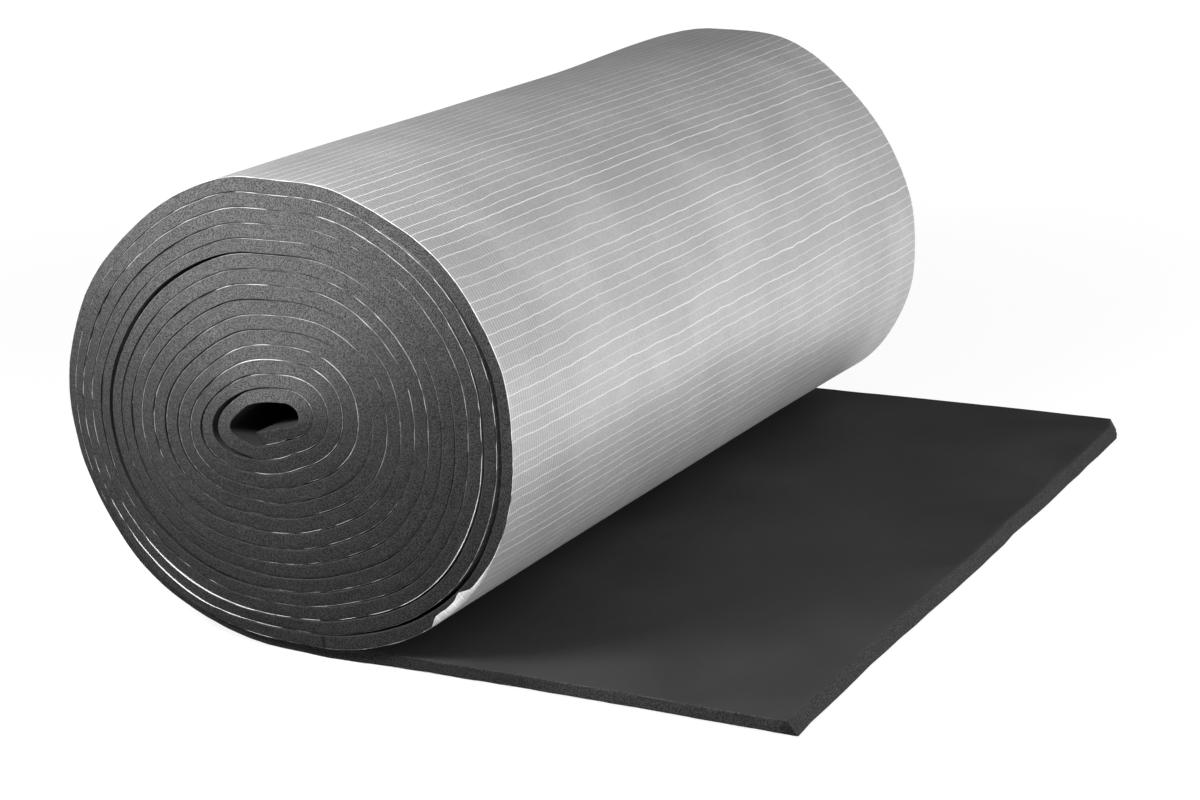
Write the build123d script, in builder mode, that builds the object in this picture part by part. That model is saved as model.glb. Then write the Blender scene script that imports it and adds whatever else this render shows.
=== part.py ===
import os
from collections import namedtuple
from math import cos, radians, sin

from build123d import *

os.makedirs("parts", exist_ok=True)

# Driving dimensions in millimetres. The sheet is wound about the Y axis with its facing outward,
# and its last stretch lies unrolled on the floor towards +X.
sheet_width = 1000.0
foam_thickness = 13.0
facing_thickness = 0.3

# The winding, from the eye to the floor.
turns = 15
turn_clearance = 0.9
eye_bend_radius = 13.5
inner_flap_length = 38.0
unrolled_length = 525.0

# The eye has collapsed, so a turn is two bends joined by flat runs, which level out turn by turn.
flat_run_length = 44.0
eye_tilt_deg = 13.8

# The turns lie closer together on the left than on the right: each turn's middle moves this far.
middle_shift_per_turn = 0.6

# Bends that stand off the turn inside them, and how far. The bends are counted from the eye.
loose_bends = {3: 3.0, 21: 2.0, 26: 1.2, 28: 2.5}

# The free end is cut at a slant: the foam's face on the floor side is this much longer.
end_cut_slant = 8.0

# On the roll's ends the turns are parted by a seam with slanting sides, this deep.
seam_depth = 5.0

half_turns = 2 * turns
sheet_thickness = foam_thickness + facing_thickness
seam_width = facing_thickness + turn_clearance
half_turn_growth = (foam_thickness + seam_width) / 2
bend_sweep = 180.0 - eye_tilt_deg / half_turns

# The foam's inner face in the XZ plane is a chain of straight runs and round bends.
Run = namedtuple("Run", "x z heading length")
Bend = namedtuple("Bend", "x z radius start_angle")


def point_on(run, along, depth):
    """Point of the sheet's section on a run: so far along it and so deep outside its inner face."""
    heading = radians(run.heading)
    return (
        run.x + along * cos(heading) + depth * sin(heading),
        run.z + along * sin(heading) - depth * cos(heading),
    )


def distance_along(run, point):
    """How far along a run a point of the section lies."""
    heading = radians(run.heading)
    return (point.X - run.x) * cos(heading) + (point.Y - run.z) * sin(heading)


def bend_position(bend):
    """Place of a bend's centre along the flat runs. Even bends are on the right, odd on the left."""
    side = 1 if bend % 2 == 0 else -1
    stand_off = sum(gap for loose, gap in loose_bends.items() if loose <= bend and (bend - loose) % 2 == 0)
    return side * (flat_run_length / 2 + stand_off) + middle_shift_per_turn * bend / 2


def run_length(bend):
    """Length of the run that follows a bend. The last one lies unrolled."""
    if bend == half_turns - 1:
        return unrolled_length
    return abs(bend_position(bend) - bend_position(bend + 1))


def walk_winding():
    """Lists the sheet's runs and bends from the flap in the eye to the unrolled stretch."""
    pieces = [Run(0.0, 0.0, eye_tilt_deg, inner_flap_length)]
    for bend in range(half_turns):
        run = pieces[-1]
        radius = eye_bend_radius + bend * half_turn_growth
        centre_x, centre_z = point_on(run, run.length, -radius)
        pieces.append(Bend(centre_x, centre_z, radius, run.heading - 90.0))
        heading = run.heading + bend_sweep
        start_x = centre_x + radius * sin(radians(heading))
        start_z = centre_z - radius * cos(radians(heading))
        pieces.append(Run(start_x, start_z, heading, run_length(bend)))
    return pieces


def placed(pieces):
    """Moves the winding so that its facing rests on the floor and the roll's middle is over X = 0."""
    right_bend, _, left_bend, free_run = pieces[-4:]
    middle = (right_bend.x + right_bend.radius + left_bend.x - left_bend.radius) / 2
    drop = free_run.z - sheet_thickness
    return [piece._replace(x=piece.x - middle, z=piece.z - drop) for piece in pieces]


# A turn is a flat run, a right bend, a flat run and a left bend. The last one comes down from the
# top of the roll and runs out over the floor.
pieces_per_turn = 4
winding = placed(walk_winding())
eye_turn = winding[:pieces_per_turn]
run_under_flap = winding[pieces_per_turn]
outer_turn = winding[-pieces_per_turn:]
covered_turns = winding[:-pieces_per_turn]
free_run = winding[-1]


def draw_face(pieces, depth):
    """Draws the sheet's face that lies a given depth outside the foam's inner face."""
    lines = []
    for piece in pieces:
        if isinstance(piece, Bend):
            lines.append(CenterArc((piece.x, piece.z), piece.radius + depth, piece.start_angle, bend_sweep))
        else:
            length = piece.length
            if piece is free_run:
                length += end_cut_slant * depth / foam_thickness
            lines.append(Line(point_on(piece, 0.0, depth), point_on(piece, length, depth)))
    return lines


def draw_outline():
    """Draws the roll from outside: its outermost turn and both faces of the unrolled stretch."""
    outer_face = draw_face(outer_turn, foam_thickness)
    parting = distance_along(free_run, outer_face[0] @ 0)
    upper_face = Line(point_on(free_run, parting, 0.0), point_on(free_run, free_run.length, 0.0))
    Line(outer_face[0] @ 0, upper_face @ 0)
    Line(upper_face @ 1, outer_face[-1] @ 1)


def draw_eye():
    """Draws the collapsed eye: the space inside the first turn, above its flap and at its tip."""
    inner_face = draw_face(eye_turn, 0.0)
    below_tip = distance_along(run_under_flap, inner_face[0] @ 0)
    bottom = Line(point_on(run_under_flap, 0.0, 0.0), point_on(run_under_flap, below_tip, 0.0))
    Line(bottom @ 1, inner_face[0] @ 0)


def draw_seam():
    """Draws the line between the turns, from the eye to where the sheet leaves the roll."""
    depth = foam_thickness + seam_width / 2
    first_run, last_run = covered_turns[0], covered_turns[-1]
    Line(point_on(first_run, -seam_width, depth), point_on(first_run, 0.0, depth))
    draw_face(covered_turns, depth)
    out_of_roll = last_run.length + seam_width
    Line(point_on(last_run, last_run.length, depth), point_on(last_run, out_of_roll, depth))


far_end = Plane.XZ.offset(-sheet_width / 2)

# The foam: one long sheet wound into a roll round its open eye. The turns press on each other, so
# the wound stretch is solid, and a seam on both ends shows every turn.
with BuildPart() as foam_sheet:
    with BuildSketch(far_end):
        with BuildLine():
            draw_outline()
        make_face()
        with BuildLine():
            draw_eye()
        make_face(mode=Mode.SUBTRACT)
    extrude(amount=sheet_width)

    with BuildLine(far_end) as seam:
        draw_seam()
    seam_path = seam.wire()
    with BuildSketch(Plane(seam_path @ 0, x_dir=(0, 1, 0), z_dir=seam_path % 0)):
        with BuildLine():
            Polyline((0, seam_width / 2), (-seam_depth, 0), (0, -seam_width / 2), close=True)
        make_face()
    seam_groove = sweep(path=seam_path, mode=Mode.PRIVATE)
    add(seam_groove, mode=Mode.SUBTRACT)
    mirror(seam_groove, about=Plane.XZ, mode=Mode.SUBTRACT)
foam_sheet.part.label = "foam_sheet"
export_step(foam_sheet.part, "parts/foam_sheet.step")

# The metallised facing is bonded to the foam's outer side. It is open to view round the outermost
# turn, and it is what the unrolled stretch rests on.
with BuildPart() as foil_facing:
    with BuildSketch(far_end):
        with BuildLine():
            bonded_side = draw_face(outer_turn, foam_thickness)
            bare_side = draw_face(outer_turn, sheet_thickness)
            Line(bonded_side[0] @ 0, bare_side[0] @ 0)
            Line(bonded_side[-1] @ 1, bare_side[-1] @ 1)
        make_face()
    extrude(amount=sheet_width)
foil_facing.part.label = "foil_facing"
export_step(foil_facing.part, "parts/foil_facing.step")

run_lengths = [piece.length for piece in winding if isinstance(piece, Run)]
bend_lengths = [
    radians(bend_sweep) * (piece.radius + foam_thickness / 2) for piece in winding if isinstance(piece, Bend)
]
print("overall", foil_facing.part.bounding_box().size)
print("length of sheet", round(sum(run_lengths) + sum(bend_lengths)))
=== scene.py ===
# %% [markdown]
# # A roll of foam insulation with a silver facing
#
# The object is one long sheet of black foam rubber with a thin silver facing bonded to one side.
# It is wound into a roll, facing outward, and its last half metre lies unrolled on the floor.
# This lesson builds the sheet the way it is made: it walks along the winding and lays a small
# cross-section down at each step, so every turn, gap and edge comes out of one long strip.

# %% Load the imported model
import bpy
import numpy as np
from math import cos, sin, pi, radians
from mathutils import Matrix, Vector


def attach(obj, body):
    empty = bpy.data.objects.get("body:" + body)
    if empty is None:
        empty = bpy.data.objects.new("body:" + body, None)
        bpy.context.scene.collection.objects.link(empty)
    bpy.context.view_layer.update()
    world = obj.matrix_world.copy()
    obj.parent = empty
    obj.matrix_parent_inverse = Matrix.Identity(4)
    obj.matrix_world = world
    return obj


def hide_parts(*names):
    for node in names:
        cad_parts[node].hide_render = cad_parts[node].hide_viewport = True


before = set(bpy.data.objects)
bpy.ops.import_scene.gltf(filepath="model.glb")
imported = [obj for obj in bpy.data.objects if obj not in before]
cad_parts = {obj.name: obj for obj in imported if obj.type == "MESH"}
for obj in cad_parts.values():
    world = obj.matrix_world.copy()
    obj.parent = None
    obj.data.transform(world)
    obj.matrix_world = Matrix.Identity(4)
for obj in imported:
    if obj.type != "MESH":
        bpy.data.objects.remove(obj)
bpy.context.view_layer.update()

# %% [markdown]
# ## The winding
#
# The section of the roll is a chain of flat runs and round bends. Each half turn is half a pitch
# larger than the last, the collapsed eye tilts the inner turns, and a few bends stand off the turn
# inside them. A spiral formula would be shorter, but it can't give the flat runs of a roll that
# has sagged, so the chain is walked run by run and bend by bend.

# %% Sizes of the sheet and of its winding, in metres
SHEET_WIDTH = 1.0
FOAM = 0.013
FACING = 0.0003
TURNS = 15
PLAY = 0.0009
EYE_BEND_RADIUS = 0.0135
FLAP_LENGTH = 0.038
UNROLLED_LENGTH = 0.525
FLAT_RUN = 0.044
EYE_TILT = 13.8
SHIFT_PER_TURN = 0.0006
LOOSE_BENDS = {3: 0.003, 21: 0.002, 26: 0.0012, 28: 0.0025}
END_CUT_SLANT = 0.008

HALF_TURNS = 2 * TURNS
SHEET = FOAM + FACING
PITCH = SHEET + PLAY
BEND_SWEEP = 180.0 - EYE_TILT / HALF_TURNS


def bend_position(bend):
    """Place of a bend's centre along the flat runs: even bends on the right, odd on the left."""
    side = 1 if bend % 2 == 0 else -1
    same_side = [loose for loose in LOOSE_BENDS if loose <= bend and (bend - loose) % 2 == 0]
    stand_off = sum(LOOSE_BENDS[loose] for loose in same_side)
    return side * (FLAT_RUN / 2 + stand_off) + SHIFT_PER_TURN * bend / 2


def walk_winding():
    """Runs (x, z, heading, length) and bends (x, z, radius, start angle), from the eye outward."""
    pieces = [("run", 0.0, 0.0, EYE_TILT, FLAP_LENGTH)]
    for bend in range(HALF_TURNS):
        _, x, z, heading, length = pieces[-1]
        radius = EYE_BEND_RADIUS + bend * PITCH / 2
        h = radians(heading)
        centre_x = x + length * cos(h) - radius * sin(h)
        centre_z = z + length * sin(h) + radius * cos(h)
        pieces.append(("bend", centre_x, centre_z, radius, heading - 90.0))
        heading += BEND_SWEEP
        h = radians(heading)
        last = bend == HALF_TURNS - 1
        length = UNROLLED_LENGTH if last else abs(bend_position(bend) - bend_position(bend + 1))
        pieces.append(("run", centre_x + radius * sin(h), centre_z - radius * cos(h), heading, length))
    right_bend, _, left_bend, free_run = pieces[-4:]
    middle = (right_bend[1] + right_bend[3] + left_bend[1] - left_bend[3]) / 2
    drop = free_run[2] - SHEET
    return [(kind, x - middle, z - drop, first, second) for kind, x, z, first, second in pieces]


winding = walk_winding()
print("pieces of the winding", len(winding))

# %% [markdown]
# ## Stations along the sheet
#
# A station is a place along the sheet where a cross-section is laid down. Close stations cost
# triangles, so tight bends get short steps, the outermost turn and the unrolled stretch, which
# are in full view, get fine ones, and the covered turns get coarser ones.

# %% Walk the winding and collect the stations
FEWEST_ON_BEND = 8
STEP_PER_RADIUS = 0.1


def stations(first, last, step_on_bend, step_on_run):
    """Inner face points, outward normals, turn count and distance along, for winding[first:last]."""
    point, normal, turn, along = [], [], [], []
    walked = 0.0
    for index, (kind, x, z, first_value, second_value) in enumerate(winding[:last]):
        if kind == "bend":
            radius, start = first_value, second_value
            length = radians(BEND_SWEEP) * (radius + FOAM / 2)
            step = min(step_on_bend, STEP_PER_RADIUS * (radius + FOAM))
            count = max(FEWEST_ON_BEND, round(length / step))
            share = np.arange(count) / count
            angle = np.radians(start + BEND_SWEEP * share)
            outward = np.stack([np.cos(angle), np.sin(angle)], 1)
            place = np.array([x, z]) + radius * outward
            heading = start + 90.0 + BEND_SWEEP * share
        else:
            length = second_value
            is_free = index == len(winding) - 1
            count = max(2, round(length / step_on_run))
            share = np.arange(count + is_free) / count
            h = radians(first_value)
            outward = np.tile([sin(h), -cos(h)], (len(share), 1))
            place = np.array([x, z]) + np.outer(share * length, [cos(h), sin(h)])
            heading = np.full(len(share), first_value)
        if index >= first:
            point.append(place)
            normal.append(outward)
            turn.append((heading - EYE_TILT) / 360.0)
            along.append(walked + share * length)
        walked += length
    return [np.concatenate(values) for values in (point, normal, turn, along)]


def joined(first_part, second_part):
    """The first block's stations and the first station of the next block, so that they meet."""
    return [np.concatenate([a, b[:1]]) for a, b in zip(first_part, second_part)]


PIECES_PER_TURN = 4
FOAM_OPEN_STEPS = (0.006, 0.005)
FOAM_COVERED_STEPS = (0.0085, 0.008)
FACING_OPEN_STEPS = (0.004, 0.004)
FACING_COVERED_STEPS = (0.0042, 0.0042)
split = len(winding) - PIECES_PER_TURN
whole = len(winding)
foam_outer = stations(split, whole, *FOAM_OPEN_STEPS)
foam_covered = joined(stations(0, split, *FOAM_COVERED_STEPS), foam_outer)
facing_outer = stations(split, whole, *FACING_OPEN_STEPS)
facing_covered = joined(stations(0, split, *FACING_COVERED_STEPS), facing_outer)
ROLL_START = foam_outer[3][0]
FREE_START = facing_outer[3][-1] - UNROLLED_LENGTH
print("sheet length", round(foam_outer[3][-1], 3), "stations", len(foam_covered[3]) + len(foam_outer[3]))

# %% [markdown]
# ## Noise, humps and ramps
#
# A real roll is never as even as its drawing. All that is uneven here comes from three functions:
# a noise of summed waves, a soft hump and a ramp. They are smooth and the same in every run, which
# a random number for every point wouldn't be.

# %% Smooth noise and soft bumps
WAVES_PER_OCTAVE = 3
WAVE_SPREAD = (0.75, 1.3)
NOISE_PEAK = 3.2


def noise(position, wavelength, seed, octaves=3):
    """Smooth noise from -1 to 1 along a line, the same in every run."""
    rng = np.random.default_rng(seed)
    total = np.zeros_like(np.asarray(position, float))
    for octave in range(octaves):
        for _ in range(WAVES_PER_OCTAVE):
            scale = 2 * pi / wavelength * 2**octave * rng.uniform(*WAVE_SPREAD)
            total += np.sin(np.asarray(position) * scale + rng.uniform(0, 2 * pi)) / 2**octave
    return total / NOISE_PEAK


def hump(value, centre, width):
    """1 at the centre, falling softly to 0."""
    return np.exp(-(((np.asarray(value) - centre) / width) ** 2))


def ramp(value, start, end):
    """0 before start, 1 after end, smooth between."""
    share = np.clip((np.asarray(value) - start) / (end - start), 0, 1)
    return share * share * (3 - 2 * share)


print("noise at three places", noise([0.0, 0.5, 1.0], 0.5, 1).round(3))

# %% [markdown]
# ## From the neat winding to the real one
#
# Three moves follow each other. The runs and bends of the inner turns are drawn into ovals, the
# outline swells and gives in where the real roll does, and the inner turns are pressed to the left,
# where the outer ones are squeezed thin. All three move the room and not a single turn, so what lies
# between two turns moves along with them. Modelling fifteen turns one by one would let them cross.

# %% Move the points of the ideal roll to where the real one has them
ROLL_AXIS = (0.0, 0.239)
ROLL_RADIUS = 0.236
EYE_CENTRE = (-0.008, 0.229)
OVAL_TILT = radians(EYE_TILT) * 0.75
OVAL_FADE = 0.55
OVAL_FADE_FROM, OVAL_FADE_TO = 0.05, 0.22


def rounder(points):
    """Bends the flat runs and round bends of the inner turns into the ovals of the real ones."""
    dx, dz = points[:, 0] - EYE_CENTRE[0], points[:, 2] - EYE_CENTRE[1]
    long_way = dx * cos(OVAL_TILT) + dz * sin(OVAL_TILT)
    high_way = dz * cos(OVAL_TILT) - dx * sin(OVAL_TILT)
    half_run = FLAT_RUN / 2
    beyond = np.maximum(np.abs(long_way) - half_run, 0)
    short_radius = np.maximum(np.hypot(beyond, high_way), 1e-5)
    long_radius = short_radius + half_run
    from_eye = np.maximum(np.hypot(long_way, high_way), 1e-6)
    oval = long_radius * short_radius / np.hypot(long_way * short_radius, high_way * long_radius)
    share = 1 + (oval - 1) * (1 - OVAL_FADE * ramp(from_eye, OVAL_FADE_FROM, OVAL_FADE_TO))
    moved = points.copy()
    moved[:, 0] += dx * (share - 1)
    moved[:, 2] += dz * (share - 1)
    return moved


# The squeeze on the left: how far the turns move, in metres, at distances from its own centre.
LEFT_SHIFT_CENTRE = (-0.020, 0.226)
LEFT_SHIFT_AT = [0.0, 0.03, 0.06, 0.09, 0.125, 0.15, 0.18, 0.21, 0.234]
LEFT_SHIFT = [0.0, 0.006, 0.0157, 0.0203, 0.0238, 0.0212, 0.0158, 0.0095, 0.0]
LEFT_ANGLE = 202
LEFT_WIDTH, LEFT_WIDER = 40, 18


def press_left(points):
    """Moves the inner turns to the left, where the outer turns are squeezed thin."""
    dx, dz = points[:, 0] - LEFT_SHIFT_CENTRE[0], points[:, 2] - LEFT_SHIFT_CENTRE[1]
    reach = np.maximum(np.hypot(dx, dz), 1e-6)
    angle = np.degrees(np.arctan2(dz, dx)) % 360
    width = LEFT_WIDTH + LEFT_WIDER * ramp(reach, 0.07, 0.13)
    above_floor = ramp(points[:, 2], 0.0, 0.05)
    shift = np.interp(reach, LEFT_SHIFT_AT, LEFT_SHIFT) * hump(angle, LEFT_ANGLE, width) * above_floor
    points[:, 0] += shift * dx / reach
    points[:, 2] += shift * dz / reach
    return points


# Bulges and dents of the outline: metres outward, the place, and the width. The place is an angle
# round the roll in degrees for the two ends, and a distance along the axis for the top.
NEAR_DENTS = [(-0.0050, 135, 22), (-0.0025, 107, 12), (-0.0035, 64, 18)]
FAR_DENTS = [(-0.0065, 40, 25), (0.007, -15, 16), (-0.005, 112, 18), (0.016, -40, 20)]
TOP_DENTS = [(0.0027, -0.27, 0.15), (-0.0038, 0.2, 0.17), (0.003, 0.5, 0.12)]
TOP_LOSS, TOP_ANGLE, TOP_WIDTH = 0.0036, 122, 18
FAR_TO_THE_LEFT = 0.0065
TOP_GAIN, SIDE_LOSS = 0.0010, 0.004
EYE_LEAN, EYE_LEAN_REACH = 0.012, 0.085


def dents(place, rows):
    """All bulges and dents of a table, summed at a place."""
    return sum(amount * hump(place, centre, width) for amount, centre, width in rows)


def settle(points):
    """Warps points (x, y, z) of the ideal roll into the real one's shape."""
    x, y, z = points[:, 0], points[:, 1], points[:, 2]
    from_axis = np.hypot(x - ROLL_AXIS[0], z - ROLL_AXIS[1])
    angle = np.degrees(np.arctan2(z - ROLL_AXIS[1], x - ROLL_AXIS[0]))
    reach = np.clip(from_axis / ROLL_RADIUS, 0, 1.1)
    wound = ramp(z, 0.004, 0.06) * (1 - ramp(from_axis, 0.27, 0.32))
    towards_far = np.clip(y + SHEET_WIDTH / 2, 0, 1)
    top = np.clip(np.sin(np.radians(angle)), 0, 1) ** 2
    side = np.clip(np.cos(np.radians(angle)), 0, 1) ** 2
    swell = TOP_GAIN * top - SIDE_LOSS * side * ramp(from_axis, 0.1, 0.2)
    far = dents(angle, FAR_DENTS) - FAR_TO_THE_LEFT * np.cos(np.radians(angle))
    swell += dents(angle, NEAR_DENTS) * (1 - towards_far) + far * towards_far
    swell += (dents(y, TOP_DENTS) - TOP_LOSS) * hump(angle, TOP_ANGLE, TOP_WIDTH)
    swell += 0.0010 * np.sin(np.radians(3 * angle) + 5.0 * y)
    swell += 0.0007 * np.sin(np.radians(5 * angle) - 9.0 * y)
    swell *= wound * reach**2
    out = np.maximum(from_axis, 1e-6)
    from_eye = np.hypot(x - EYE_CENTRE[0], z - EYE_CENTRE[1])
    lean = -EYE_LEAN * np.exp(-((from_eye / EYE_LEAN_REACH) ** 2))
    ripple_x = 0.0008 * np.sin(34 * z + 7 * y + 1.0) + 0.0005 * np.sin(61 * z - 4 * y)
    ripple_z = 0.0008 * np.sin(37 * x - 6 * y + 2.0) + 0.0005 * np.sin(58 * x + 5 * y)
    moved = rounder(points)
    moved[:, 0] += swell * (x - ROLL_AXIS[0]) / out + lean + ripple_x * wound
    moved[:, 2] += swell * (z - ROLL_AXIS[1]) / out + ripple_z * wound
    return press_left(moved)


print("deepest dent", min(row[0] for row in NEAR_DENTS + FAR_DENTS + TOP_DENTS), "m")

# %% [markdown]
# ## Slips along the axis
#
# The turns were wound with a slight skew, so each one stands a little further out on the left than
# on the right, and the last turn slipped when the end was pulled out over the floor. The unrolled
# stretch keeps a faint wave. Building these into the stations keeps the cut ends one clean surface.

# %% How far the sheet has slipped and lifted
WINDING_SKEW = -0.0287
SLIP_AT_FREE_END = 0.0145
SLIP_GROWS = 0.003
LAST_TURN_FROM, LAST_TURN_TO = 14.45, 14.98


def edge_slip(x, turn, along):
    """How far the sheet has slipped along the axis: the skew, and the last turn's slip."""
    skew = WINDING_SKEW * x
    slip = SLIP_AT_FREE_END - SLIP_GROWS * (1 - ramp(along, FREE_START, FREE_START + 0.4))
    last_turn = ramp(turn, LAST_TURN_FROM, LAST_TURN_TO)
    uneven = 0.0011 * noise(along, 0.55, 11) + 0.0005 * noise(along, 0.12, 12)
    return skew * (1 - last_turn) + slip * last_turn + uneven


def free_end_lift(x, y, along):
    """The unrolled stretch isn't quite flat on the floor."""
    out = ramp(along, FREE_START + 0.12, FREE_START + UNROLLED_LENGTH)
    wave = 0.5 + 0.5 * np.sin(9.0 * y + 1.2) * np.sin(11.0 * x)
    return out * (0.0011 * wave + 0.0016 * hump(y, 0.5, 0.10) + 0.0008 * hump(y, -0.5, 0.08))


print("skew over the roll", round(WINDING_SKEW * 2 * ROLL_RADIUS, 4), "m")

# %% [markdown]
# ## How each edge looks
#
# On the end of the roll the facing shows as a line between two turns. It is bright and wide where
# the torn facing stands out over the foam, dashed where it is flush, and gone where it is tucked
# in. Beside it the gap to the next turn is black where the turns part. Both are read here from one
# short row of digits per turn, at eight places round the roll, and blended between them.

# %% Rows of digits: bottom, lower right, right, upper right, top, upper left, left, lower left
FACING_SHOWS = """
31100000 41165211 43368411 34457211 31213112
32434541 42332121 32456321 31564121 10010001
30013224 32444249 58656559 24666332 35887543
"""
TURNS_PART = """
00223774 00011242 00011131 00000131 00011353
00000121 00000112 00000112 00000112 00015863
00000001 00000001 01310000 09630000 00000000
"""


def from_rows(rows, turn):
    """Reads the rows of digits at a turn count, as a smooth value from 0 to 1."""
    digits = np.array([int(d) for d in rows if d.isdigit()], float) / 9.0
    place = np.clip(np.asarray(turn) * 8, 0, len(digits) - 1.001)
    before = place.astype(int)
    share = place - before
    share = share * share * (3 - 2 * share)
    return digits[before] * (1 - share) + digits[before + 1] * share


DASH_LENGTH, FRAY_LENGTH = 0.045, 0.014


def facing_shows(turn, along):
    """How far the facing stands out at the near edge, from 0, tucked in, to 1, wide and bright."""
    level = from_rows(FACING_SHOWS, turn)
    dashes = ramp(noise(along, DASH_LENGTH, 21, 3), -0.35, 0.25)
    dashes = dashes + (1 - dashes) * ramp(level, 0.6, 1.0)
    fray = noise(along, FRAY_LENGTH, 22, 2)
    return np.clip(level * (0.30 + 0.62 * dashes) + 0.30 * level * (1 - level) * fray, 0, 1)


WIDEST_PARTING = 0.0028


def turns_part(turn, along):
    """How far the turn inside this one is away, beyond the ordinary play, in metres."""
    return WIDEST_PARTING * from_rows(TURNS_PART, turn) * (0.85 + 0.25 * noise(along, 0.2, 31))


print("digits", sum(c.isdigit() for c in FACING_SHOWS), sum(c.isdigit() for c in TURNS_PART))

# %% [markdown]
# ## Laying the strip
#
# A block of the strip is a grid: one ring of points per station. All faces come from the grid's
# own order, so the mesh is closed and needs no clean-up, and the two ends get a small grid of
# their own, because one face with eighty corners would shade badly. The corners of every face are
# turned round at the end, so that all faces look outward and bumps in the finish stand out.

# %% Build a closed strip from its rings


def strip_faces(count, ring):
    """Quads of a tube of rings, as an array of corner numbers."""
    row = np.arange(count - 1)[:, None] * ring
    here = np.arange(ring)[None, :]
    after = (here + 1) % ring
    return np.stack([row + here, row + here + ring, row + after + ring, row + after], -1).reshape(-1, 4)


def make_mesh(name, blocks):
    """One mesh object from blocks of (points, faces, uv, material index per face, edge mask)."""
    points, faces, uvs, slots, masks = zip(*blocks)
    first_points = np.cumsum([0] + [len(block) for block in points])
    faces = np.concatenate([block + first for block, first in zip(faces, first_points)])[:, ::-1]
    points, uvs = np.concatenate(points), np.concatenate(uvs)
    mesh = bpy.data.meshes.new(name)
    mesh.vertices.add(len(points))
    mesh.vertices.foreach_set("co", points.ravel())
    mesh.loops.add(faces.size)
    mesh.loops.foreach_set("vertex_index", faces.ravel())
    mesh.polygons.add(len(faces))
    mesh.polygons.foreach_set("loop_start", np.arange(0, faces.size, 4))
    mesh.polygons.foreach_set("loop_total", np.full(len(faces), 4))
    mesh.polygons.foreach_set("material_index", np.concatenate(slots))
    layer = mesh.uv_layers.new(name="sheet")
    layer.data.foreach_set("uv", uvs[faces.ravel()].ravel())
    mask = mesh.attributes.new("torn_edge", "FLOAT", "POINT")
    mask.data.foreach_set("value", np.concatenate(masks))
    mesh.update()
    mesh.validate()
    mesh.shade_smooth()
    piece = bpy.data.objects.new(name, mesh)
    bpy.context.scene.collection.objects.link(piece)
    print(name, "points", len(points), "triangles", 2 * len(faces))
    return piece


print("faces between two rings of eight points", len(strip_faces(2, 8)))

# %% [markdown]
# ## The foam
#
# The foam's ring has rounded corners at the cut edges, a few points across each cut face, and
# rows along the width. Only the unrolled stretch shows its broad face, so the covered turns have
# few rows there. The inner face gives way where turns part, which opens the black gaps.

# %% Shape of the foam's ring
CUT_STEPS = [0.2, 0.4, 0.6, 0.8]
CORNER_ANGLES = [0.0, 30.0, 60.0, 90.0]
CUT_SLOPE = 0.0011
CORNER_ROUND = 0.00045
PRESSED_IN = 0.00035
PARTING_ENDS_FROM, PARTING_ENDS_TO = 0.9, 1.3


def foam_rings(place, rows):
    """Depth and width position of each ring point, one row per station, and the ring's layout."""
    _, _, turn, along = place
    count = len(turn)
    corner = CORNER_ROUND + 0.00018 * noise(along, 0.09, 41)
    tight = -PRESSED_IN + 0.00012 * noise(along, 0.05, 42)
    inner = np.where(turn < 1, 0.0, tight + turns_part(turn - 1, along))
    inner = inner * (1 - ramp(along, ROLL_START + PARTING_ENDS_FROM, ROLL_START + PARTING_ENDS_TO))
    outer = np.full(count, FOAM)
    slope = CUT_SLOPE * (1 + 0.35 * noise(along, 0.3, 43))
    waver = 0.00030 * noise(along, 0.07, 44) + 0.00012 * noise(along, 0.012, 45, 2)
    near_side = []
    for angle in CORNER_ANGLES:
        turned = radians(angle)
        near_side.append((inner + corner * (1 - cos(turned)), corner * (1 - sin(turned))))
    for step in CUT_STEPS:
        near_side.append((inner + (outer - inner) * step, slope * step + waver * sin(pi * step)))
    for angle in reversed(CORNER_ANGLES):
        turned = radians(angle)
        near_side.append((outer - corner * (1 - cos(turned)), slope + corner * (1 - sin(turned))))
    far_side = [(depth, SHEET_WIDTH - inset) for depth, inset in reversed(near_side)]
    outer_rows = [(outer, np.full(count, SHEET_WIDTH * row)) for row in rows]
    inner_rows = [(inner, np.full(count, SHEET_WIDTH * row)) for row in reversed(rows)]
    ring = near_side + outer_rows + far_side + inner_rows
    depth = np.stack([d for d, _ in ring], 1)
    width = np.stack([w for _, w in ring], 1)
    return depth, width, len(near_side), len(rows)


def lay_strip(place, depth, width, slip):
    """Turns depths and widths into points in the room, at every station."""
    point, normal, turn, along = place
    x = point[:, :1] + normal[:, :1] * depth
    z = point[:, 1:] + normal[:, 1:] * depth
    y = -SHEET_WIDTH / 2 + width + slip[:, None]
    points = settle(np.stack([x.ravel(), y.ravel(), z.ravel()], 1))
    points[:, 2] += free_end_lift(points[:, 0], points[:, 1], np.repeat(along, depth.shape[1]))
    return points


CUT_ZONE = 0.06
CORNER_NICK = 0.005
FAR_CORNER_LOSS = 0.010


def near_the_end(along):
    """0 up to the zone of the cut, and 1 at the free end's last station."""
    return (1 - np.clip(along[-1] - along, 0, CUT_ZONE) / CUT_ZONE)[:, None]


def cut_slant(place, depth, width):
    """Moves the last stations so that the free end is cut at a slant, unevenly, corners rounded."""
    across = width / SHEET_WIDTH
    slant = END_CUT_SLANT * depth / FOAM
    wander = 0.0016 * noise(across, 0.5, 51) + 0.0005 * noise(across, 0.07, 52)
    near_corner = 0.002 * hump(across, 0.0, 0.02)
    near_corner = near_corner - CORNER_NICK * hump(across, 0.006, 0.005) * (1 - depth / FOAM)
    far_corner = -FAR_CORNER_LOSS * hump(across, 1.0, 0.018)
    return near_the_end(place[3]) ** 2 * (slant + wander + near_corner + far_corner)


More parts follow.
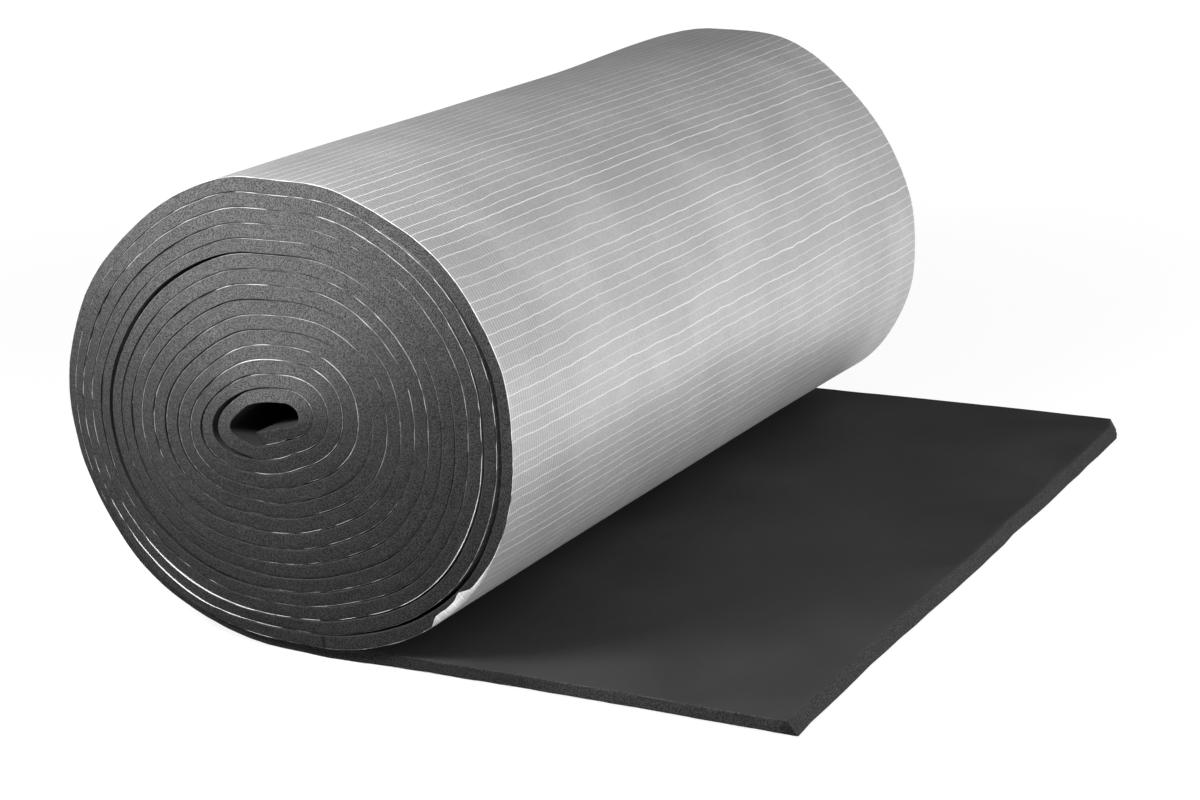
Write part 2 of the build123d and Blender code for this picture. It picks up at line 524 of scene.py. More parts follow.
def with_cut(points, place, depth, width, shorter=0.0):
    """Applies the free end's cut to the points of the outer block."""
    points = points.copy()
    pulled_back = shorter * near_the_end(place[3]) ** 2
    points[:, 0] += (cut_slant(place, depth, width) - pulled_back).ravel()
    return points


print("points in the foam's cut side", 2 * len(CORNER_ANGLES) + len(CUT_STEPS))

# %% [markdown]
# ## The foam in two blocks
#
# The covered turns and the open stretch are two blocks of one mesh, so each has its own number of
# rows across the width. Every face knows whether it is a cut or the moulded skin, and the UV map
# holds metres along the sheet and metres across it, which the finishes use later.

# %% Make the foam sheet
CUT, SKIN = 0, 1


def foam_block(place, rows, is_outer):
    """Points, faces, uv, material numbers and edge mask of one block of the foam."""
    point, _, turn, along = place
    depth, width, side, broad = foam_rings(place, rows)
    slip = edge_slip(point[:, 0], turn, along)
    points = lay_strip(place, depth, width, slip)
    if is_outer:
        points = with_cut(points, place, depth, width)
    ring = depth.shape[1]
    faces = strip_faces(len(turn), ring)
    in_ring = np.tile(np.arange(ring), len(turn) - 1)
    is_cut = (in_ring < side - 1) | ((in_ring >= side + broad) & (in_ring < 2 * side + broad - 1))
    slots = np.where(is_cut, CUT, SKIN)
    uv = np.stack([np.repeat(along, ring), depth.ravel() + width.ravel()], 1)
    for station, start in ((len(turn) - 1, False), (0, True)):
        more_points, more_faces, more_uv = end_grid(points, uv, side, broad, ring, station, start)
        points, uv = np.concatenate([points, more_points]), np.concatenate([uv, more_uv])
        faces = np.concatenate([faces, more_faces])
        slots = np.concatenate([slots, np.full(len(more_faces), CUT)])
    return points, faces, uv, slots, np.zeros(len(points))


def end_grid(points, uv, side, broad, ring, station, start):
    """Closes an end of the strip with a grid: columns across the width, rows through the depth."""
    base = station * ring
    near = base + np.arange(side)
    outer = base + side + np.arange(broad)
    far = base + side + broad + np.arange(side)[::-1]
    inner = (base + 2 * side + broad + np.arange(broad))[::-1]
    grid = np.zeros((side, broad + 2), int)
    grid[:, 0], grid[:, -1] = near, far
    grid[0, 1:-1], grid[-1, 1:-1] = inner, outer
    new_points, new_uv = [], []
    count = len(points)
    for row in range(1, side - 1):
        from_inner = np.linalg.norm(points[near[row]] - points[near[0]])
        from_outer = np.linalg.norm(points[near[row]] - points[near[-1]])
        share = from_inner / (from_inner + from_outer)
        new_points.append(points[inner] * (1 - share) + points[outer] * share)
        new_uv.append(uv[inner] * (1 - share) + uv[outer] * share)
        grid[row, 1:-1] = count + np.arange(broad)
        count += broad
    a, b, c, d = grid[:-1, :-1], grid[1:, :-1], grid[1:, 1:], grid[:-1, 1:]
    quads = np.stack([a, b, c, d] if start else [a, d, c, b], -1).reshape(-1, 4)
    return np.concatenate(new_points), quads, np.concatenate(new_uv)


covered_rows = [0.004, 0.03, 0.13, 0.38, 0.62, 0.87, 0.97, 0.996]
open_rows = [0.0015, 0.006, 0.015, *np.linspace(0.035, 0.965, 26), 0.985, 0.994, 0.9985]
foam = make_mesh(
    "foam_sheet_wound",
    [foam_block(foam_covered, covered_rows, False), foam_block(foam_outer, open_rows, True)],
)
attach(foam, "root")
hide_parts("foam_sheet")

# %% [markdown]
# ## The facing
#
# The facing is a thin skin on the foam's outer side, with a free edge at both ends of the roll.
# Where it stands out it is also thicker, because its threads and film come apart there. Near the
# floor on the right a narrow strip of it has come loose and folds back over the cut foam. The
# same ring makes all of this: its last points follow the edge outward and round the fold.

# %% Shape of the facing's edges
BONDED = FOAM - 0.0001
EDGE_BASE = 0.0032
EDGE_STEPS = [1.0, 0.86, 0.66, 0.45, 0.22]
EDGE_BEND_START = EDGE_BASE - CUT_SLOPE + 0.0003
EDGE_BEND_LENGTH = 0.0016
BOND_ROWS = [0.995, 0.7, 0.3, 0.0045]
FACING_SHORT = 0.003
TUCKED_IN = 0.0007
FRAY_REACH = 0.0011
STRIP_START = 0.128
STRIP_WIDE, STRIP_NARROW = 0.0075, 0.0040


def loose_strip(along):
    """Length of the facing that folds back over the near cut, in metres, along the sheet."""
    start = ROLL_START + STRIP_START
    wide = STRIP_WIDE * ramp(along, start, start + 0.012)
    wide = wide * (1 - ramp(along, start + 0.044, start + 0.064))
    wide *= 0.95 + 0.07 * noise(along, 0.02, 61, 2)
    narrow = STRIP_NARROW * ramp(along, start + 0.038, start + 0.048)
    return wide + narrow * (1 - ramp(along, start + 0.05, start + 0.13))


def rows_across(depth, rows):
    """Ring points at one depth, in rows across the sheet."""
    return [(depth, np.full(len(depth), SHEET_WIDTH * row), SHEET_WIDTH * row) for row in rows]


def facing_rings(place, rows):
    """Depth and width position of the facing's ring points: near edge, outside, far edge, bond."""
    _, _, turn, along = place
    count = len(turn)
    shows = facing_shows(turn, along)
    far_shows = np.clip(0.3 + 0.45 * noise(along, 0.2, 71) + 0.25 * noise(along, 0.02, 72), 0, 1)
    near_out = -TUCKED_IN + 0.0009 * shows + 0.0015 * shows**2 - CUT_SLOPE
    far_out = -TUCKED_IN + 0.0014 * far_shows - CUT_SLOPE
    near_thick = FACING * (1 + shows) + 0.0007 * shows**3
    far_thick = FACING * (1 + far_shows)
    fold = loose_strip(along)
    folded = ramp(fold, 0.0006, 0.0022)
    free = EDGE_BASE + np.where(folded > 0, EDGE_BEND_START - EDGE_BASE, near_out) + fold
    last_angle = np.maximum(folded * pi / 2, 0.001)
    radius = EDGE_BEND_LENGTH / last_angle
    over, under = [], []
    for step in EDGE_STEPS:
        walked = free * step
        in_bend = np.clip((walked - EDGE_BEND_START) / EDGE_BEND_LENGTH, 0, 1)
        angle = last_angle * in_bend * (folded > 0)
        beyond = np.maximum(walked - EDGE_BEND_START - EDGE_BEND_LENGTH, 0) * (folded > 0)
        straight = np.where(folded > 0, np.minimum(walked, EDGE_BEND_START), walked)
        forward = straight + radius * np.sin(angle) + beyond * np.cos(last_angle)
        down = radius * (1 - np.cos(angle)) + beyond * np.sin(last_angle)
        frayed = (near_thick - FACING) * np.exp(-(free - walked) / FRAY_REACH) * (1 - folded)
        thick = FACING + frayed + FACING * folded
        path = EDGE_BASE - walked
        outside_depth = BONDED - down + thick * np.cos(angle)
        outside_width = EDGE_BASE - forward - thick * np.sin(angle)
        over.append((outside_depth, outside_width, path))
        under.append((BONDED - down, EDGE_BASE - forward, path))
    outside = rows_across(np.full(count, FOAM + FACING), rows)
    far_tip = SHEET_WIDTH + far_out
    far = [
        (BONDED + far_thick, far_tip - 0.0004, SHEET_WIDTH),
        (BONDED + far_thick * 0.6, far_tip, SHEET_WIDTH),
        (np.full(count, BONDED), far_tip - 0.0001, SHEET_WIDTH),
    ]
    bond = rows_across(np.full(count, BONDED), BOND_ROWS)
    ring = over + outside + far + bond + under[::-1]
    depth = np.stack([d for d, _, _ in ring], 1)
    width = np.stack([w for _, w, _ in ring], 1)
    path = np.stack([np.broadcast_to(p, count) for _, _, p in ring], 1)
    return depth, width, path


print("longest folded strip", round(float(loose_strip(facing_outer[3]).max()), 4), "m")

# %% [markdown]
# ## The facing as one mesh
#
# The facing gets the same two blocks as the foam, with closer stations, because its edge is drawn
# out into dashes. A mask on its points marks the torn edge, where the threads are bare and white.
# Under the unrolled stretch it ends a few millimetres short of the foam, where the knife bent it.

# %% Make the facing
TORN_REACH = 0.0012
FAR_TORN = 0.4


def facing_block(place, rows, is_outer):
    """Points, faces, uv, material numbers and torn edge mask of one block of the facing."""
    point, _, turn, along = place
    depth, width, path = facing_rings(place, rows)
    slip = edge_slip(point[:, 0], turn, along)
    points = lay_strip(place, depth, width, slip)
    if is_outer:
        points = with_cut(points, place, depth, width, FACING_SHORT)
    ring = depth.shape[1]
    faces = strip_faces(len(turn), ring)
    ends = []
    for station, start in ((0, True), (len(turn) - 1, False)):
        ids = station * ring + np.arange(ring)
        half = ring // 2
        quads = [[ids[i], ids[i + 1], ids[ring - 2 - i], ids[ring - 1 - i]] for i in range(half - 1)]
        ends.append(np.array([q if start else q[::-1] for q in quads]))
    faces = np.concatenate([faces, *ends])
    uv = np.stack([np.repeat(along, ring), path.ravel()], 1)
    near_edge = np.exp(-np.clip(path.ravel(), 0, 1) / TORN_REACH)
    far_edge = np.exp(-np.clip(SHEET_WIDTH - path.ravel(), 0, 1) / TORN_REACH)
    torn = np.clip(near_edge * np.repeat(facing_shows(turn, along), ring) + FAR_TORN * far_edge, 0, 1)
    return points, faces, uv, np.zeros(len(faces), int), torn


facing_covered_rows = [0.0045, 0.2, 0.5, 0.8, 0.99, 0.9975]
facing_open_rows = [0.0045, 0.009, *np.linspace(0.025, 0.975, 30), 0.992, 0.9975]
facing = make_mesh(
    "silver_facing",
    [
        facing_block(facing_covered, facing_covered_rows, False),
        facing_block(facing_outer, facing_open_rows, True),
    ],
)
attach(facing, "root")
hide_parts("foil_facing")

# %% [markdown]
# ## Shader groups
#
# Three effects come back in more than one finish: fine pores, soft clouds and scattered marks.
# Each is a node group with its own inputs, built once, so a change of grain is made in one place.

# %% Helpers for shader nodes


def node(tree, kind, **values):
    """A node with inputs and properties by keyword, _ for spaces: sockets are linked, values set."""
    made = tree.nodes.new(kind)
    for key, value in values.items():
        name = key.replace("_", " ")
        if name not in made.inputs:
            setattr(made, key, value)
        elif isinstance(value, bpy.types.NodeSocket):
            tree.links.new(value, made.inputs[name])
        else:
            made.inputs[name].default_value = value
    return made


def new_group(name, inputs, outputs):
    """An empty group with a Vector input, inputs by name and default, and outputs by name."""
    tree = bpy.data.node_groups.new(name, "ShaderNodeTree")
    tree.interface.new_socket("Vector", in_out="INPUT", socket_type="NodeSocketVector")
    for socket, default in inputs.items():
        made = tree.interface.new_socket(socket, in_out="INPUT", socket_type="NodeSocketFloat")
        made.default_value = default
    for socket in outputs:
        tree.interface.new_socket(socket, in_out="OUTPUT", socket_type="NodeSocketFloat")
    return tree, tree.nodes.new("NodeGroupInput").outputs, tree.nodes.new("NodeGroupOutput").inputs


def calc(tree, operation, first, second=None, clamp=False):
    """A math node: numbers are set, sockets are linked."""
    made = tree.nodes.new("ShaderNodeMath")
    made.operation = operation
    made.use_clamp = clamp
    for index, value in enumerate((first, second)):
        if value is None:
            continue
        if isinstance(value, (int, float)):
            made.inputs[index].default_value = value
        else:
            tree.links.new(value, made.inputs[index])
    return made.outputs[0]


def remap(tree, value, low, high, to_low=0.0, to_high=1.0):
    """Maps a value smoothly from one range to another."""
    ends = {"From_Min": low, "From_Max": high, "To_Min": to_low, "To_Max": to_high}
    made = node(tree, "ShaderNodeMapRange", interpolation_type="SMOOTHSTEP", Value=value, **ends)
    return made.outputs["Result"]


def stretched(tree, vector, x, y, z):
    """The vector with its axes scaled, to draw a texture out along one of them."""
    made = node(tree, "ShaderNodeVectorMath", operation="MULTIPLY")
    tree.links.new(vector, made.inputs[0])
    made.inputs[1].default_value = (x, y, z)
    return made.outputs[0]


def parts(tree, vector):
    """The X, Y and Z of a vector, by name."""
    made = tree.nodes.new("ShaderNodeSeparateXYZ")
    tree.links.new(vector, made.inputs[0])
    return made.outputs


def set_bump(tree, shader, height, strength, distance):
    """Bends the shader's normals by a height."""
    made = node(tree, "ShaderNodeBump", Strength=strength, Distance=distance, Height=height)
    tree.links.new(made.outputs[0], shader.inputs["Normal"])


def on_sheet(tree):
    """Place on the sheet in metres, along it and across it, from the UV map."""
    made = tree.nodes.new("ShaderNodeUVMap")
    made.uv_map = "sheet"
    return made.outputs[0]


print("node groups so far", len(bpy.data.node_groups))

# %% [markdown]
# ## Pores
#
# Closed-cell foam shows burst cells a millimetre across wherever it is cut. Round cells alone look
# like beads, so pits from a cell pattern are mixed with finer noise, and the same sum gives both the
# tone and the height.

# %% Pores: the fine grain of cut foam
pores, start, end = new_group("fine_pores", {"Pores per metre": 700.0}, ["Pores", "Height"])
at, scale = start["Vector"], start["Pores per metre"]
cells = node(pores, "ShaderNodeTexVoronoi", feature="F1", Vector=at, Scale=scale)
finer = calc(pores, "MULTIPLY", scale, 1.7)
grain = node(pores, "ShaderNodeTexNoise", Detail=2.0, Roughness=0.6, Vector=at, Scale=finer)
pit_share = calc(pores, "MULTIPLY", remap(pores, cells.outputs["Distance"], 0.15, 0.75), 0.45)
mixed = calc(pores, "ADD", pit_share, calc(pores, "MULTIPLY", grain.outputs[0], 0.75))
pores.links.new(calc(pores, "SUBTRACT", mixed, 0.1, clamp=True), end["Pores"])
pores.links.new(mixed, end["Height"])
print("nodes for the pores", len(pores.nodes))

# %% [markdown]
# ## Clouds
#
# Large surfaces are never one even tone. A slow noise with soft edges serves for worn foam, for slack
# film and for patches of foil, each at its own scale.

# %% Clouds: slow changes of tone over a surface
clouds, start, end = new_group("soft_clouds", {"Clouds per metre": 6.0}, ["Clouds"])
soft = {"Detail": 3.0, "Roughness": 0.5, "Distortion": 0.4, "Scale": start["Clouds per metre"]}
slow = node(clouds, "ShaderNodeTexNoise", Vector=start["Vector"], **soft)
clouds.links.new(remap(clouds, slow.outputs[0], 0.3, 0.7), end["Clouds"])
print("nodes for the clouds", len(clouds.nodes))

# %% [markdown]
# ## Marks
#
# Nicks in the foam and ticks on the film are small, rare and scattered. A cell pattern places one
# candidate per cell, and a random share of the cells keeps theirs, so their number is easy to set.

# %% Marks: short scattered ticks and nicks, longer than they are wide
marks, start, end = new_group(
    "short_marks", {"Marks per metre": 30.0, "Share with a mark": 0.2, "Half width": 0.04}, ["Marks"]
)
field = node(marks, "ShaderNodeTexVoronoi", feature="F1", Randomness=0.9, Vector=start["Vector"])
marks.links.new(start["Marks per metre"], field.inputs["Scale"])
chosen = node(marks, "ShaderNodeSeparateColor", Color=field.outputs["Color"])
has_mark = calc(marks, "LESS_THAN", chosen.outputs[0], start["Share with a mark"])
close = calc(marks, "LESS_THAN", field.outputs["Distance"], start["Half width"])
marks.links.new(calc(marks, "MULTIPLY", has_mark, close), end["Marks"])
print("groups", len(bpy.data.node_groups))

# %% [markdown]
# ## Helpers for the finishes
#
# Each finish starts from one Principled shader and lays tones over each other by masks. These few
# functions place a group, mix two tones or lay a plain colour over what is there.

# %% Helpers for the finishes


def new_material(name):
    """A material with an empty tree but for the output and one Principled shader."""
    made = bpy.data.materials.new(name)
    made.use_nodes = True
    tree = made.node_tree
    shader = tree.nodes["Principled BSDF"]
    return made, tree, shader


def use_group(tree, group, vector, **values):
    """Places a group in a material and sets its inputs by name, with _ for spaces."""
    return node(tree, "ShaderNodeGroup", node_tree=group, Vector=vector, **values)


def tone(tree, amount, dark, light):
    """A grey between dark and light."""
    made = node(tree, "ShaderNodeMix", data_type="RGBA", Factor=amount, A=(*dark, 1), B=(*light, 1))
    return made.outputs["Result"]


def mix_tone(tree, amount, first, colour):
    """Lays one plain colour over another tone by a mask."""
    made = node(tree, "ShaderNodeMix", data_type="RGBA", Factor=amount, A=first, B=(*colour, 1))
    return made.outputs["Result"]


print("finishes so far", len(bpy.data.materials))

# %% [markdown]
# ## Cut foam
#
# The knife leaves fine pores and a cut face that leans, so it catches the lamp in front. A fan over
# the eye is lighter than the rest of the end, a sheen that the lamps here don't give, so it is painted:
# a plain mask by direction round the eye paints shade into the colour outside the fan, and the
# slanted cut of the free end is darkened with the same painted shade.

# %% Cut foam
CUT_LEAN = 0.26
PORE_HEIGHT = 0.00024
PORE_DARK = (0.012, 0.012, 0.013)
FAN_SHADE_CENTRE = (-0.02, 0.0, 0.226)
PAINTED_SHADE_DARKEST = 0.42
FREE_CUT_PAINTED_SHADE = 1.15
cut_foam, tree, shader = new_material("cut_foam")
place = tree.nodes.new("ShaderNodeTexCoord").outputs["Object"]
fine = use_group(tree, pores, place, Pores_per_metre=820.0)
broad = use_group(tree, clouds, place, Clouds_per_metre=9.0)
pore_share = remap(tree, fine.outputs["Pores"], 0.2, 0.75)
base = tone(tree, pore_share, (0.009, 0.009, 0.0095), (0.104, 0.104, 0.106))
# Painted shade: outside a fan over the eye, found by direction round it, the cut's colour is darkened to
# stand in for a sheen.
from_eye = node(tree, "ShaderNodeVectorMath", operation="SUBTRACT")
tree.links.new(place, from_eye.inputs[0])
from_eye.inputs[1].default_value = FAN_SHADE_CENTRE
in_section = node(tree, "ShaderNodeVectorMath", operation="NORMALIZE")
tree.links.new(stretched(tree, from_eye.outputs[0], 1.0, 0.0, 1.0), in_section.inputs[0])
painted_shade_by_direction = remap(tree, parts(tree, in_section.outputs[0])["Z"], 0.95, 0.15, 0.0, PAINTED_SHADE_DARKEST)
out_from_roll = parts(tree, place)["X"]
on_roll = remap(tree, out_from_roll, 0.30, 0.22)
# The same painted shade also darkens the free end's slanted cut, mixed into the base colour below.
on_end = calc(tree, "MULTIPLY", remap(tree, out_from_roll, 0.494, 0.500), FREE_CUT_PAINTED_SHADE)
painted_fan_shade = calc(tree, "MULTIPLY", painted_shade_by_direction, calc(tree, "MAXIMUM", on_roll, on_end))
base = mix_tone(tree, painted_fan_shade, base, (0.012, 0.012, 0.0125))
long_nicks = stretched(tree, place, 1.0, 1.0, 0.35)
nicks = use_group(tree, marks, long_nicks, Marks_per_metre=38.0, Share_with_a_mark=0.12, Half_width=0.045)
base = mix_tone(tree, nicks.outputs["Marks"], base, PORE_DARK)
tree.links.new(base, shader.inputs["Base Color"])
tree.links.new(remap(tree, broad.outputs["Clouds"], 0, 1, 0.86, 0.98), shader.inputs["Roughness"])
shader.inputs["Specular IOR Level"].default_value = 0.06
leaning = calc(tree, "MULTIPLY", parts(tree, on_sheet(tree))["Y"], -CUT_LEAN)
height = calc(tree, "ADD", calc(tree, "MULTIPLY", fine.outputs["Height"], PORE_HEIGHT), leaning)
set_bump(tree, shader, height, 1.0, 1.0)
foam.data.materials.append(cut_foam)
print("nodes in the cut foam", len(tree.nodes))

# %% [markdown]
# ## Moulded skin
#
# The broad face came off a roller. It is nearly black, smoother than the cut and faintly waved
# across the sheet. It is a second material on the same mesh, so that the change from skin to cut
# lies exactly on the edge.

# %% Moulded skin
skin, tree, shader = new_material("foam_skin")
place = tree.nodes.new("ShaderNodeTexCoord").outputs["Object"]
fine = use_group(tree, pores, place, Pores_per_metre=900.0)
broad = use_group(tree, clouds, place, Clouds_per_metre=5.0)
waves = use_group(tree, clouds, stretched(tree, place, 1.0, 0.25, 1.0), Clouds_per_metre=55.0)
base = tone(tree, broad.outputs["Clouds"], (0.020, 0.020, 0.021), (0.034, 0.034, 0.035))
tree.links.new(base, shader.inputs["Base Color"])
tree.links.new(remap(tree, broad.outputs["Clouds"], 0, 1, 0.62, 0.74), shader.inputs["Roughness"])
shader.inputs["Specular IOR Level"].default_value = 0.3
height = calc(tree, "ADD", calc(tree, "MULTIPLY", fine.outputs["Height"], 0.25), waves.outputs["Clouds"])
set_bump(tree, shader, height, 0.35, 0.0004)
foam.data.materials.append(skin)
print("finishes on the foam", len(foam.data.materials))

# %% [markdown]
# ## The facing's finish
#
# The facing is aluminium foil under a clear film, with white glass threads between them. The
# threads run straight across the sheet about a centimetre apart and wander a little, and finer
# ones cross them. They are drawn in the sheet's own coordinates, metres along and metres across,
# so they keep their spacing round the whole roll and on under the unrolled stretch.

# %% Threads: lines across the sheet that wander
threads, start, end = new_group(
    "laid_threads",
    {"Spacing": 0.0108, "Width": 0.0006, "Slow wander": 0.010, "Quick wander": 0.005},
    ["Threads", "Ridge", "Each"],
)


def centred_noise(tree, vector, scales, detail):
    """Noise with a scale for each axis, per metre, from about -0.3 to 0.3."""
    drawn = stretched(tree, vector, *scales)
    made = node(tree, "ShaderNodeTexNoise", Scale=1.0, Detail=detail, Vector=drawn)
    return calc(tree, "SUBTRACT", made.outputs[0], 0.5)


along_it = parts(threads, start["Vector"])["X"]
slow_sway = centred_noise(threads, start["Vector"], (3.0, 5.0, 1.0), 1.0)
quick_sway = centred_noise(threads, start["Vector"], (16.0, 30.0, 1.0), 2.0)
spacing_sway = centred_noise(threads, start["Vector"], (55.0, 0.6, 1.0), 0.0)
slow_move = calc(threads, "MULTIPLY", slow_sway, start["Slow wander"])
quick_move = calc(threads, "MULTIPLY", quick_sway, start["Quick wander"])
uneven = calc(threads, "MULTIPLY", spacing_sway, calc(threads, "MULTIPLY", start["Spacing"], 0.9))
moved = calc(threads, "ADD", calc(threads, "ADD", slow_move, quick_move), uneven)
along_sheet = calc(threads, "DIVIDE", calc(threads, "ADD", along_it, moved), start["Spacing"])
which = calc(threads, "FLOOR", along_sheet)
in_cell = calc(threads, "SUBTRACT", calc(threads, "FRACT", along_sheet), 0.5)
from_thread = calc(threads, "MULTIPLY", calc(threads, "ABSOLUTE", in_cell), start["Spacing"])
edge = calc(threads, "DIVIDE", from_thread, calc(threads, "MULTIPLY", start["Width"], 0.5))
each = node(threads, "ShaderNodeTexWhiteNoise", noise_dimensions="1D", W=which)
threads.links.new(remap(threads, edge, 1.5, 0.5), end["Threads"])
threads.links.new(remap(threads, edge, 3.5, 0.0), end["Ridge"])
threads.links.new(each.outputs["Value"], end["Each"])
print("inputs of the thread group", len(threads.interface.items_tree) - 3)

# %% [markdown]
# ## Foil under film
#
# The film dulls the foil to a satin grey, which is why it is only partly metallic here. The threads
# lie on top of it as thin white ridges, stronger or fainter from one to the next. The fine cross
# threads show as a dark hatch near the cut edge and in patches, and at the torn edge the glass is bare.

# %% Foil, film and threads
WHITE_GLASS = (0.86, 0.86, 0.85)
BARE_EDGE = (0.86, 0.86, 0.86)
foil, tree, shader = new_material("reinforced_foil")
across = on_sheet(tree)
long_threads = use_group(
    tree, threads, across, Spacing=0.0112, Width=0.00075, Slow_wander=0.006, Quick_wander=0.0034
)
sheet_parts = parts(tree, across)
swapped = node(tree, "ShaderNodeCombineXYZ", X=sheet_parts["Y"], Y=sheet_parts["X"])
cross_threads = use_group(
    tree, threads, swapped.outputs[0], Spacing=0.0042, Width=0.0010, Slow_wander=0.003, Quick_wander=0.0015
)
patches = use_group(tree, clouds, stretched(tree, across, 5.0, 9.0, 1.0), Clouds_per_metre=1.6)
near_edge = remap(tree, sheet_parts["Y"], 0.17, 0.02)
patchy = calc(tree, "MULTIPLY", patches.outputs["Clouds"], 0.7)
hatch_share = calc(tree, "ADD", patchy, near_edge, clamp=True)
hatch = calc(tree, "MULTIPLY", cross_threads.outputs["Ridge"], hatch_share)
long_ticks = stretched(tree, across, 0.16, 1.0, 1.0)
ticks = use_group(tree, marks, long_ticks, Marks_per_metre=30.0, Share_with_a_mark=0.16, Half_width=0.022)
veil = use_group(tree, clouds, stretched(tree, across, 3.0, 3.0, 1.0), Clouds_per_metre=2.2)
fine_veil = use_group(tree, clouds, stretched(tree, across, 1.0, 0.6, 1.0), Clouds_per_metre=60.0)
slow_shade = calc(tree, "MULTIPLY", veil.outputs["Clouds"], 0.7)
fine_shade = calc(tree, "MULTIPLY", fine_veil.outputs["Clouds"], 0.3)
base = tone(tree, calc(tree, "ADD", slow_shade, fine_shade), (0.52, 0.52, 0.52), (0.62, 0.62, 0.62))
grain = use_group(tree, pores, across, Pores_per_metre=650.0)
grain_mask = calc(tree, "MULTIPLY", remap(tree, grain.outputs["Pores"], 0.25, 0.75), 0.38)
base = mix_tone(tree, grain_mask, base, (0.30, 0.30, 0.30))
base = mix_tone(tree, calc(tree, "MULTIPLY", hatch, 0.60), base, (0.28, 0.28, 0.28))
thread_light = calc(tree, "ADD", calc(tree, "MULTIPLY", long_threads.outputs["Each"], 0.40), 0.58)
thread_mask = calc(tree, "MULTIPLY", long_threads.outputs["Threads"], thread_light)
base = mix_tone(tree, thread_mask, base, WHITE_GLASS)
base = mix_tone(tree, calc(tree, "MULTIPLY", ticks.outputs["Marks"], 0.6), base, WHITE_GLASS)
torn = node(tree, "ShaderNodeAttribute", attribute_name="torn_edge")
base = mix_tone(tree, torn.outputs["Fac"], base, BARE_EDGE)
tree.links.new(base, shader.inputs["Base Color"])
not_metal = calc(tree, "MAXIMUM", torn.outputs["Fac"], thread_mask)
tree.links.new(remap(tree, not_metal, 0, 1, 0.40, 0.05), shader.inputs["Metallic"])
tree.links.new(remap(tree, fine_veil.outputs["Clouds"], 0, 1, 0.54, 0.49), shader.inputs["Roughness"])
ridges = calc(tree, "MULTIPLY", calc(tree, "ADD", long_threads.outputs["Ridge"], hatch), 0.35)
slack = use_group(tree, clouds, across, Clouds_per_metre=30.0)
height = calc(tree, "ADD", ridges, calc(tree, "MULTIPLY", slack.outputs["Clouds"], 0.35))
set_bump(tree, shader, height, 0.5, 0.0004)
facing.data.materials.append(foil)
print("nodes in the foil", len(tree.nodes))

# %% [markdown]
# ## Floor
#
# The floor is seen white, but a floor that is white for the lamps too would fill the shaded side of
# the roll with light. So its own colour is a middle grey, and it glows only for rays that come from
# the camera or from a reflection, a little less near the roll, where its soft shadow is kept.

# %% Floor
FLOOR_HALF = 14.0
FLOOR_DROP = 0.0006
FLOOR_TONE = 0.22
FLOOR_GLOW_NEAR, FLOOR_GLOW_FAR = 0.88, 1.0
GLOW_FROM, GLOW_TO = 0.7, 3.0
floor_mesh = bpy.data.meshes.new("floor")
corners = [(x * FLOOR_HALF, y * FLOOR_HALF, 0) for x, y in ((-1, -1), (1, -1), (1, 1), (-1, 1))]
floor_mesh.from_pydata(corners, [], [(0, 1, 2, 3)])
floor = bpy.data.objects.new("floor", floor_mesh)
floor.location.z = -FLOOR_DROP
bpy.context.scene.collection.objects.link(floor)
white, tree, shader = new_material("white_floor")
shader.inputs["Base Color"].default_value = (FLOOR_TONE, FLOOR_TONE, FLOOR_TONE, 1)
shader.inputs["Roughness"].default_value = 0.9
shader.inputs["Specular IOR Level"].default_value = 0.0
seen = tree.nodes.new("ShaderNodeLightPath")
either = calc(tree, "MAXIMUM", seen.outputs["Is Camera Ray"], seen.outputs["Is Glossy Ray"])
either = calc(tree, "MAXIMUM", either, seen.outputs["Is Transmission Ray"])
spot = tree.nodes.new("ShaderNodeTexCoord").outputs["Object"]
far_away = node(tree, "ShaderNodeVectorMath", operation="LENGTH")
tree.links.new(spot, far_away.inputs[0])
brightness = remap(
    tree, far_away.outputs["Value"], GLOW_FROM, GLOW_TO, FLOOR_GLOW_NEAR, FLOOR_GLOW_FAR
)
shown = calc(tree, "MULTIPLY", either, brightness)
glow = node(tree, "ShaderNodeEmission", Color=(1, 1, 1, 1), Strength=shown)
both = tree.nodes.new("ShaderNodeAddShader")
tree.links.new(shader.outputs[0], both.inputs[0])
tree.links.new(glow.outputs[0], both.inputs[1])
tree.links.new(both.outputs[0], tree.nodes["Material Output"].inputs["Surface"])
floor_mesh.materials.append(white)
print("floor's own tone", FLOOR_TONE)

# %% [markdown]
# ## Light
#
# The cut end is lit from above its eye by a small lamp close in front, so it darkens downward. Three
# lamps stand on the right: a low wide one makes the bright band on the facing's side, one above it
# softens the band's upper edge, and one far behind lights the top. The world is plain grey.

# %% World and lamps
WORLD_TONE, WORLD_STRENGTH = 0.50, 0.30
world = bpy.data.worlds.new("studio")
bpy.context.scene.world = world
world.use_nodes = True
background = world.node_tree.nodes["Background"]
background.inputs["Color"].default_value = (WORLD_TONE, WORLD_TONE, WORLD_TONE, 1)
background.inputs["Strength"].default_value = WORLD_STRENGTH


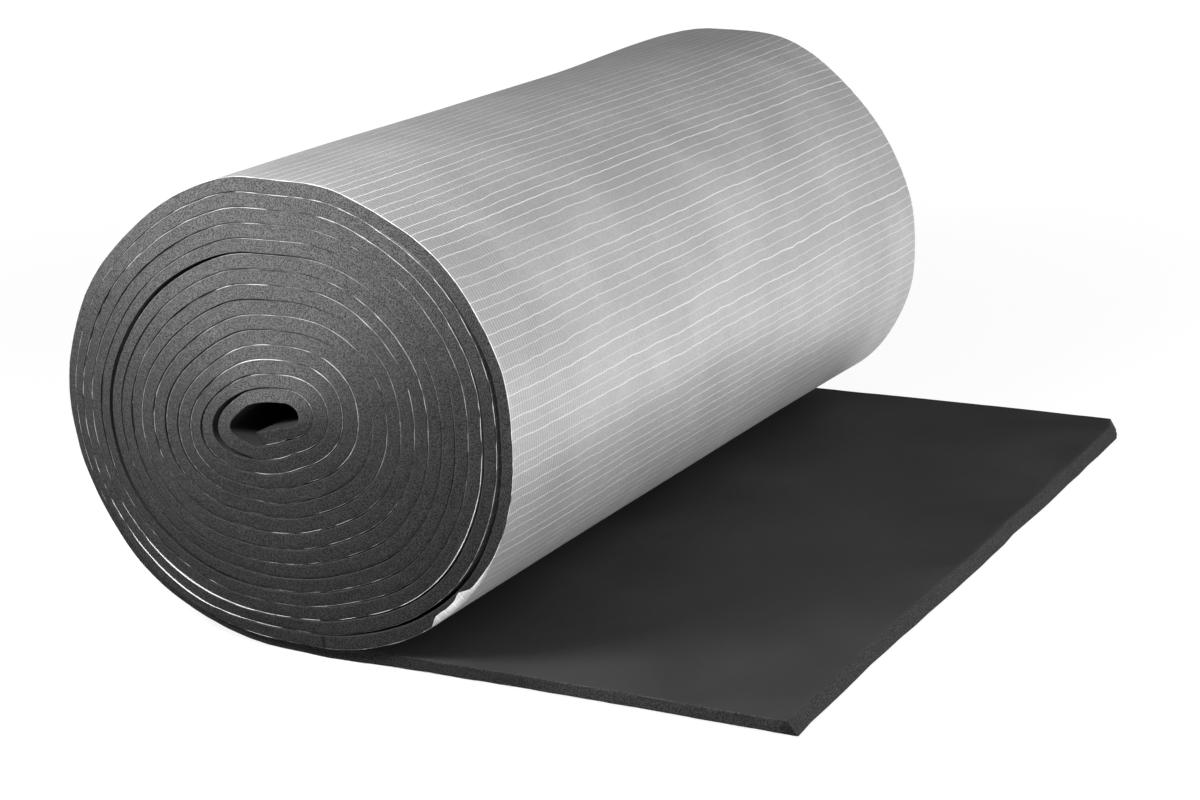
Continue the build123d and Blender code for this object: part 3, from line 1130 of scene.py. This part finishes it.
def soft_lamp(name, place, target, width, height, power):
    """An area lamp of this size in metres and power in watts that faces its target."""
    data = bpy.data.lights.new(name, "AREA")
    data.shape = "RECTANGLE"
    data.size, data.size_y, data.energy = width, height, power
    lamp = bpy.data.objects.new(name, data)
    lamp.location = place
    lamp.rotation_mode = "QUATERNION"
    lamp.rotation_quaternion = (Vector(target) - Vector(place)).to_track_quat("-Z", "Y")
    bpy.context.scene.collection.objects.link(lamp)
    return lamp


lamps = [
    soft_lamp("key_lamp", (-0.22, -1.20, 0.92), (0.0, -0.5, 0.34), 0.5, 0.35, 22.0),
    soft_lamp("back_right_lamp", (2.3, 3.0, 1.8), (0.1, 0.0, 0.3), 2.0, 1.6, 9.0),
    soft_lamp("upper_right_lamp", (1.35, 0.05, 1.55), (0.1, 0.0, 0.3), 1.0, 0.9, 10.0),
    soft_lamp("right_lamp", (2.3, 0.15, 0.27), (0.2, 0.05, 0.15), 1.6, 0.46, 31.0),
]
print("lamps", len(lamps), "with", sum(lamp.data.energy for lamp in lamps), "W")

# %% [markdown]
# ## Camera
#
# The viewpoint was found by fitting the outlines of the turns, of both ends and of the unrolled
# stretch. The camera is built from its three directions, because it leans by a degree and a half,
# and that is easier to read as vectors than as three angles.

# %% Camera, at the photograph's viewpoint
CAMERA_AT = (1.3548, -2.4435, 0.9215)
AZIMUTH, ELEVATION, ROLL = radians(27.72), radians(15.988), radians(-1.502)
FOCAL_PIXELS, FRAME_WIDTH = 2632.96, 1200.0
camera_data = bpy.data.cameras.new("camera")
camera_data.sensor_width = 36.0
camera_data.lens = FOCAL_PIXELS * camera_data.sensor_width / FRAME_WIDTH
camera = bpy.data.objects.new("camera", camera_data)
back = Vector((sin(AZIMUTH) * cos(ELEVATION), -cos(AZIMUTH) * cos(ELEVATION), sin(ELEVATION)))
level = (-back).cross(Vector((0, 0, 1))).normalized()
upright = level.cross(-back)
right = cos(ROLL) * level + sin(ROLL) * upright
up = cos(ROLL) * upright - sin(ROLL) * level
camera.matrix_world = Matrix.Translation(CAMERA_AT) @ Matrix((right, up, back)).transposed().to_4x4()
bpy.context.scene.collection.objects.link(camera)
bpy.context.scene.camera = camera
bpy.context.scene.view_settings.view_transform = "Standard"
print("lens", round(camera_data.lens, 2))
